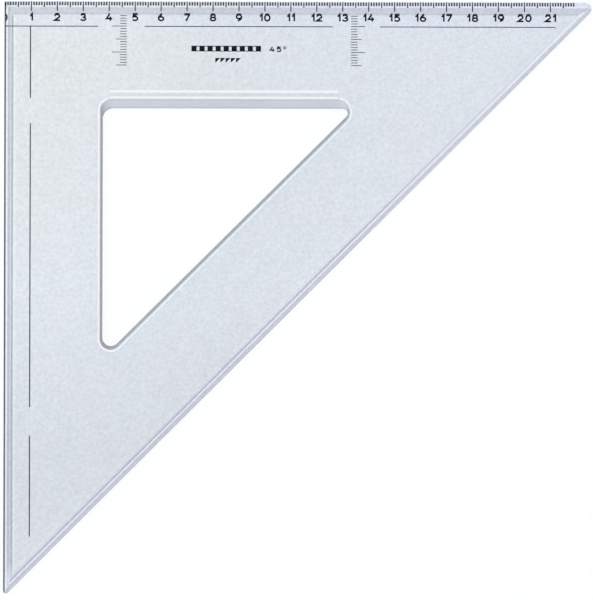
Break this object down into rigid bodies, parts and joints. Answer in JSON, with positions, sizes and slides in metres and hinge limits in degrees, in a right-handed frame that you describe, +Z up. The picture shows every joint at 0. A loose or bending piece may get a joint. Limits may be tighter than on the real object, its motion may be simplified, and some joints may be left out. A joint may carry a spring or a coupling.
{
  "type": "set square",
  "caption": "Clear acrylic 45 degree set square with a bevelled centimetre scale edge, two rebated drawing edges and a triangular cut-out with a finger lift.",
  "frame": {"origin": "middle of the bounding box, on the underside that lies on the paper", "axes": "+X along the scale edge away from the right-angled corner, +Y out of the scale edge, +Z up through the thickness"},
  "size_m": [0.226, 0.2282, 0.003],
  "materials": {
    "clear_acrylic": "clear, faintly blue cast acrylic with a satin face and polished bevels",
    "ink": "near-black blue ink set in engraved lines"
  },
  "bodies": {
    "root": {"plate": "clear_acrylic", "guide_line_corner": "ink", "guide_line_top_middle": "ink", "guide_line_top_right": "ink", "guide_line_left_middle": "ink", "guide_line_left_lower": "ink", "centimetre_tick_01": "ink", "centimetre_tick_02": "ink", "centimetre_tick_03": "ink", "centimetre_tick_04": "ink", "centimetre_tick_05": "ink", "centimetre_tick_06": "ink", "centimetre_tick_07": "ink", "centimetre_tick_08": "ink", "centimetre_tick_09": "ink", "centimetre_tick_10": "ink", "centimetre_tick_11": "ink", "centimetre_tick_12": "ink", "centimetre_tick_13": "ink", "centimetre_tick_14": "ink", "centimetre_tick_15": "ink", "centimetre_tick_16": "ink", "centimetre_tick_17": "ink", "centimetre_tick_18": "ink", "centimetre_tick_19": "ink", "centimetre_tick_20": "ink", "centimetre_tick_21": "ink", "cross_scale_left_tick_10": "ink", "cross_scale_left_tick_15": "ink", "cross_scale_left_tick_20": "ink", "cross_scale_left_tick_25": "ink", "cross_scale_right_tick_10": "ink", "cross_scale_right_tick_15": "ink", "cross_scale_right_tick_20": "ink", "cross_scale_right_tick_25": "ink"}
  },
  "joints": []
}
